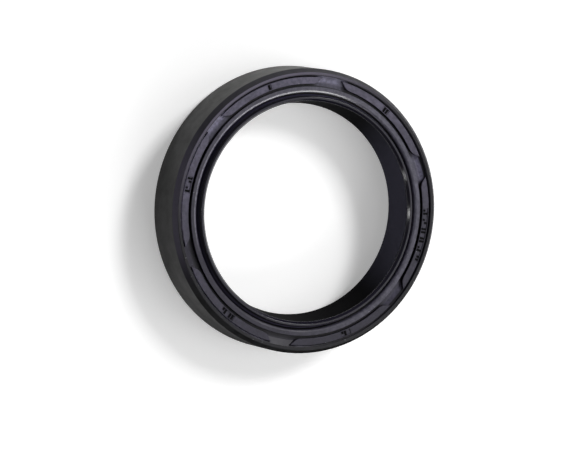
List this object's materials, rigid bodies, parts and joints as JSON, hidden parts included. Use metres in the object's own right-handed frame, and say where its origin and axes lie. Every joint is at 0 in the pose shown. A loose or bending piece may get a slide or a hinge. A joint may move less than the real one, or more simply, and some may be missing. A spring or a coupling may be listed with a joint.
{
  "type": "radial shaft seal",
  "caption": "Ring-shaped rubber covered radial shaft seal with a spring-loaded main lip, a dust lip and a grooved air side face.",
  "frame": {"origin": "on the seal's axis, in the plane of the oil side rim it rests on", "axes": "+Z along the shaft axis towards the moulded air side; +X through the middle of the first face pad"},
  "size_m": [0.052, 0.052, 0.0103],
  "materials": {
    "nitrile_rubber": "moulded black nitrile rubber, satin, thin oily bloom",
    "phosphated_steel": "deep drawn strip, grey phosphate coat",
    "spring_steel": "drawn spring wire, lightly oiled"
  },
  "bodies": {
    "root": {"seal_body": "nitrile_rubber", "stiffening_ring": "phosphated_steel", "garter_spring": "spring_steel"}
  },
  "joints": []
}
